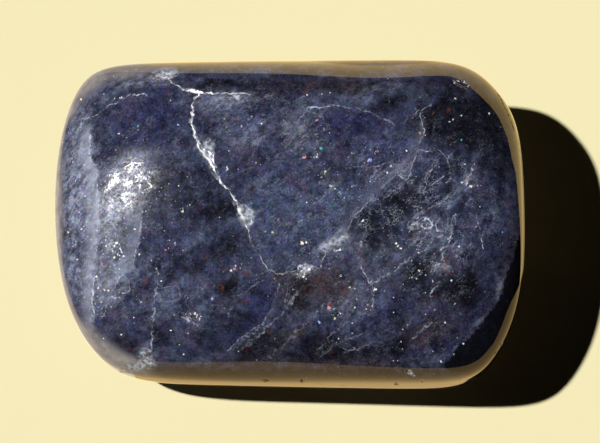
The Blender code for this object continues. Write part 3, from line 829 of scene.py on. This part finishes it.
def body_colour(n):
    """The stone's dark body, with its tracts of other tones."""
    dark, blue, violet = n.kept("tone")
    brown, haze, _ = n.kept("mist_and_glow")
    colour = n.mix(n.patchy(1.3, 6, 2), NAVY, BLUE_GREY)
    for share, tone in (
        (n.patchy(0.42, 4, 1, 0.0, 0.85), DEEP_NAVY),
        (n.times(ragged(n, blue, 1.8, 3), 0.75), MID_BLUE),
        (n.slanted(0.9, 8, 22, -0.5, 0.42), FROST),
        (n.patchy(0.9, 5, 31, -0.9, 0.9), VIOLET_GREY),
        (n.times(ragged(n, violet, 2.2, 5), 0.9), VIOLET),
        (n.times(ragged(n, brown, 1.9, 6), 0.8), BROWN),
        (n.times(ragged(n, dark, 1.5, 4), 0.92), GREEN_BLACK),
        # Pale haze, with a painted glow round the highlight.
        (n.smooth(n.times(haze, n.slanted(3.4, 7, 7, 0.35, 1.15)), 0.0, 1.2), HAZE_AND_GLOW),
    ):
        colour = n.mix(share, colour, tone)
    return colour


def with_grain(n, colour):
    """Mottling, fine grain, salt and feathery fibres over the body."""
    hue = n.vector("MULTIPLY_ADD", n.noise(9.0, 1, 8, output=1), (1.5,) * 3, (0.25,) * 3)
    colour = n.vector("MULTIPLY", colour, hue)
    mottle = n.patchy(2.8, 5, 23, 0.45, 1.45, 0.17)
    colour = n.scaled(colour, n.times(mottle, n.patchy(9.0, 4, 38, 0.62, 1.38, 0.16)))
    distance, (_, bright, _) = n.cells(5.5)
    salt = n.times(n.smooth(distance, 0.24, 0.08), n.smooth(bright, 0.45, 1.0), n.span(n.speckle, 0.12, 0.9))
    colour = n.mix(salt, colour, PALE)
    strands = thin_lines(n, n.slant, 1.3, 5, 9, 0.009)
    for more in ((n.slant, 2.6, 4, 10, 0.010), (n.place, 1.2, 5, 11, 0.006), (n.slant, 3.4, 5, 39, 0.008)):
        strands = n.math("MAXIMUM", strands, thin_lines(n, *more))
    share = n.times(strands, n.span(n.kept("mist_and_glow")[2], 0.04, 0.45), n.patchy(2.2, 3, 12, -0.4, 1.2))
    return n.mix(share, colour, PALE)


def with_scattered(n, colour):
    """Scattered flakes of mica and small painted glints, on every side."""
    distance, (pick, _, _) = n.cells(0.95)
    edge = n.plus(distance, n.patchy(3.0, 5, 13, -0.12, 0.12))
    flake = n.times(n.smooth(edge, 0.15, 0.08), n.smooth(pick, 0.78, 0.80))
    colour = n.mix(n.times(flake, 0.4), colour, TINTS["rust"])
    distance, (pick, hue, force) = n.cells(4.2)
    chosen = n.smooth(n.plus(pick, n.span(n.speckle, -0.06, 0.24)), 0.86, 0.90)
    glint = n.times(n.smooth(distance, 0.21, 0.07), chosen, n.span(force, 0.1, 1.0))
    return n.mix(glint, colour, n.mix(hue, TINTS["ice"], TINTS["cream"]))


def with_painted_shade(n, colour):
    """Painted shade: the lower right corner, turned away from the sun, painted near black."""
    shaded = n.smooth(n.plus(n.corner, n.patchy(3.5, 6, 18, -1.2, 1.2)), -1.0, 1.5)
    shade_colour = n.mix(n.patchy(7.0, 4, 19, -0.5, 1.0), PAINTED_SHADE_BLACK, GREEN_BLACK)
    return n.mix(n.times(shaded, n.smooth(n.seen, 0.0, 0.5), 0.95), colour, shade_colour)


def with_veins(n, colour):
    """The pale lines and one-sided veils of the side in view, the painted reflection on the rim and the
    crushed patches.
    """
    offset, distance, brightness = n.kept("vein")
    away = n.math("ABSOLUTE", n.plus(offset, n.patchy(3.0, 5, 14, -1.0, 1.0)))
    width = n.patchy(2.2, 3, 29, 0.35, 1.25)
    gaps = n.times(n.patchy(1.1, 3, 24, 0.1, 1.5), n.patchy(6.0, 3, 15, 0.0, 1.4))
    share = n.times(n.smooth(n.math("DIVIDE", away, width), 1.0, 0.2), n.smooth(distance, 3.0, 1.6), gaps)
    dust = n.times(n.smooth(distance, 4.5, 0.5), n.patchy(7.0, 3, 25, -0.5, 0.45))
    share = n.math("MAXIMUM", share, n.smooth(dust, 0.0, 1.4))
    colour = n.mix(n.times(share, brightness, n.seen), colour, PALE)
    veil, crushed, rim_reflection = n.kept("veil_wear_and_rim_reflection")
    colour = n.mix(n.times(veil, n.slanted(2.4, 6, 26, 0.4, 1.05, 0.18)), colour, VEIL)
    # A painted pinkish-grey reflection of the card on the outer rim.
    colour = n.mix(n.times(n.smooth(rim_reflection, 0.0, 1.0), n.patchy(1.8, 5, 32, 0.6, 1.0)), colour, PAINTED_RIM_REFLECTION)
    ground = n.mix(n.patchy(8.0, 5, 33), SEAM_GREY, CRUSHED)
    ground = n.scaled(ground, n.patchy(5.0, 5, 34, 0.3, 1.7))
    return n.mix(ragged(n, crushed, 4.5, 35, 1.1), colour, ground)


def with_seam(n, colour):
    """The crushed white seam: a bright broken line in a greyer band."""
    offset, distance, width = n.kept("seam")
    away = n.math("ABSOLUTE", n.plus(offset, n.patchy(2.6, 6, 16, -1.5, 1.5)))
    near = n.times(n.smooth(n.math("SUBTRACT", distance, n.times(width, 0.55)), 2.2, 0.8), n.seen)
    band = n.smooth(n.math("DIVIDE", away, width), 0.75, 0.3)
    fill = n.times(band, near, n.patchy(4.5, 5, 17, 0.0, 1.2))
    colour = n.mix(n.times(fill, 0.6, n.smooth(width, 0.3, 3.0)), colour, SEAM_GREY)
    reach = n.plus(n.times(width, n.patchy(2.4, 5, 30, -0.04, 0.42)), 0.25)
    bright = n.smooth(n.math("DIVIDE", away, reach), 1.3, 0.5)
    line = n.times(bright, near, n.smooth(width, 0.2, 3.2), n.patchy(3.6, 6, 27, 0.05, 1.35))
    return n.mix(line, colour, SEAM_WHITE)


def with_placed(n, colour, name, strength):
    """The listed painted glints and coloured grains, or the listed flakes."""
    along, across, distance = n.kept(name)
    out = n.math("SQRT", n.plus(n.times(along, along), n.times(across, across)))
    out = n.plus(out, n.patchy(11.0, 3, 28, -0.35, 0.65))
    disc = n.times(n.smooth(out, 1.0, 0.3), n.smooth(distance, 3.5, 2.5), n.seen)
    return n.mix(n.times(disc, strength), colour, n.attribute(name + "_tint", "Color"))


def scratched(n):
    """Where the dark scratches and pits are."""
    offset, distance, strength = n.kept("scratch")
    across, ends = n.smooth(n.math("ABSOLUTE", offset), 1.1, 0.5), n.smooth(distance, 2.5, 1.4)
    return n.times(across, ends, strength, n.smooth(n.seen, 0.0, 0.2), n.patchy(5.0, 4, 41, 0.3, 1.2))


def add_polish(n, scratch):
    """The polish: dull and pitted where the skin is speckled, cut down on the rim where a reflection is
    painted, and gone where it is scratched.
    """
    unseen = n.span(n.smooth(n.seen, 0.0, 0.3), UNSEEN, 0.0)
    n.feed("Roughness", n.math("MAXIMUM", n.span(n.speckle, SMOOTH, SPECKLED), unseen))
    pits = n.times(n.smooth(n.noise(5.5, 8, 36), 0.40, 0.60), n.slanted(2.5, 5, 37, -0.3, 1.2))
    pitted = n.scaled((PITTED_SPECULAR,) * 3, pits)
    polish = n.mix(n.smooth(n.speckle, 0.1, 0.6), (SPECULAR,) * 3, pitted)
    # Where a reflection is painted on the rim, the polish is cut down.
    veil_wear_and_rim_reflection = n.smooth(n.kept("veil_wear_and_rim_reflection")[2], 0.1, 0.9)
    polish = n.scaled(polish, n.times(n.span(veil_wear_and_rim_reflection, 1.0, 0.12), n.span(scratch, 1.0, 0.0)))
    n.feed("Specular IOR Level", polish)
    n.feed("Coat Weight", n.times(n.smooth(n.speckle, 0.3, 1.0), n.patchy(9.0, 4, 40, 0.0, 0.42)))
    ripple = n.times(n.noise(10.0, 4, 21), n.smooth(n.speckle, 0.15, 0.9))
    bump = {"Strength": 1.0, "Distance": POLISH_RIPPLE * MM, "Height": ripple}
    n.feed("Normal", n.add("ShaderNodeBump", bump))


def iolite():
    """Dark, nearly opaque polished iolite."""
    material = new_material("polished_iolite", {"IOR": IOLITE_IOR, "Coat Roughness": FROSTED})
    n = Nodes(material)
    colour = with_scattered(n, with_grain(n, body_colour(n)))
    colour = with_veins(n, with_painted_shade(n, colour))
    colour = with_seam(n, with_placed(n, colour, "flake", 0.5))
    colour = with_placed(n, colour, "glint", 1.0)
    scratch = scratched(n)
    n.feed("Base Color", n.mix(scratch, colour, PIT_BROWN))
    add_polish(n, scratch)
    return material


def paper(name, colour, glow=0.0):
    """Plain dull paper."""
    tint = (*colour, 1)
    values = {"Base Color": tint, "Roughness": PAPER_ROUGHNESS, "Specular IOR Level": PAPER_POLISH}
    return new_material(name, {**values, "Emission Color": tint, "Emission Strength": glow})


def add_reflected_card(name, outline, colour, glow=CARD_GLOW):
    """A part of the sunlit card that shows only in the polish, brighter than the floor by its glow."""
    mesh = bpy.data.meshes.new(name)
    places = [(x * MM, y * MM, (CARD_LIFT + sum(rise)) * MM) for x, y, *rise in outline]
    mesh.from_pydata(places, [], [range(len(outline))])
    mesh.materials.append(paper(name, colour, glow))
    card = add_object(name, mesh)
    card.visible_camera = card.visible_shadow = False
    card.visible_diffuse = card.visible_transmission = False


def make_floor():
    """The pale floor, and the card that the polish mirrors in its place."""
    bpy.ops.mesh.primitive_plane_add(size=FLOOR_SIZE, location=(0, 0, 0))
    floor = bpy.context.object
    floor.name = "floor"
    floor.data.materials.append(paper("pale_floor", FLOOR_COLOUR))
    floor.visible_glossy = False
    left, reach = CARD_NEAR_LEFT, CARD_REACH
    turn = (left, CARD_NEAR_EDGE)
    near_left = (CARD_LEFT, CARD_NEAR_EDGE + (CARD_LEFT - left) / CARD_NEAR_FLARE)
    away = (left - CARD_NEAR_FLARE * reach, CARD_NEAR_EDGE - reach)
    under = ((-left, CARD_NEAR_EDGE), (-left, 0), CARD_TIP)
    far_end = (CARD_FAR_EDGE, (reach, CARD_SLOPE * reach), (reach, reach), (left, reach))
    near_end = ((reach, -reach), (reach, -CARD_SLOPE * reach), CARD_NEAR_SIDE)
    pale = (near_left, turn, (left, reach), (CARD_LEFT, reach))
    add_reflected_card("pale_card", pale, CARD_PALE_COLOUR)
    add_reflected_card("bright_card", (turn, *under, *far_end), CARD_COLOUR)
    add_reflected_card("dim_card", (away, *near_end, *under[::-1], turn), CARD_NEAR_COLOUR, 0.0)
    azimuth, rise = np.radians(CARD_CURL).T
    curl = reach * np.stack([np.cos(azimuth), np.sin(azimuth), np.tan(rise)], axis=1)
    add_reflected_card("curled_card", curl, CARD_CURL_COLOUR)


def make_light():
    """The key light, and a trace of fill."""
    world = bpy.data.worlds.new("studio")
    world.use_nodes = True
    fill = world.node_tree.nodes["Background"].inputs
    fill["Color"].default_value = (*FILL_COLOUR, 1)
    fill["Strength"].default_value = FILL_STRENGTH
    bpy.context.scene.world = world
    light = bpy.data.lights.new("key", "SUN")
    light.energy = KEY_STRENGTH
    light.angle = math.radians(KEY_SPREAD)
    light.color = KEY_COLOUR
    add_object("key", light).rotation_euler = (0, math.radians(90 - KEY_HEIGHT), math.radians(KEY_AZIMUTH))


def make_camera():
    """The camera, where the photo was taken from."""
    back, _, aim = view_axes()
    lens = bpy.data.cameras.new("camera")
    lens.sensor_width = SENSOR_MM
    lens.lens = SENSOR_MM * VIEW_DISTANCE / (FRAME_PX[0] * MM_PER_PX)
    lens.clip_start, lens.clip_end = CLIP_RANGE
    camera = add_object("camera", lens)
    camera.location = (aim + back * VIEW_DISTANCE) * MM
    camera.rotation_euler = (math.radians(VIEW_TILT), 0, 0)
    bpy.context.scene.camera = camera
    bpy.context.scene.view_settings.view_transform = "Standard"


stone = make_stone()
stone.data.materials.append(iolite())
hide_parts("iolite_stone")
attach(stone, "root")
make_floor()
make_light()
make_camera()
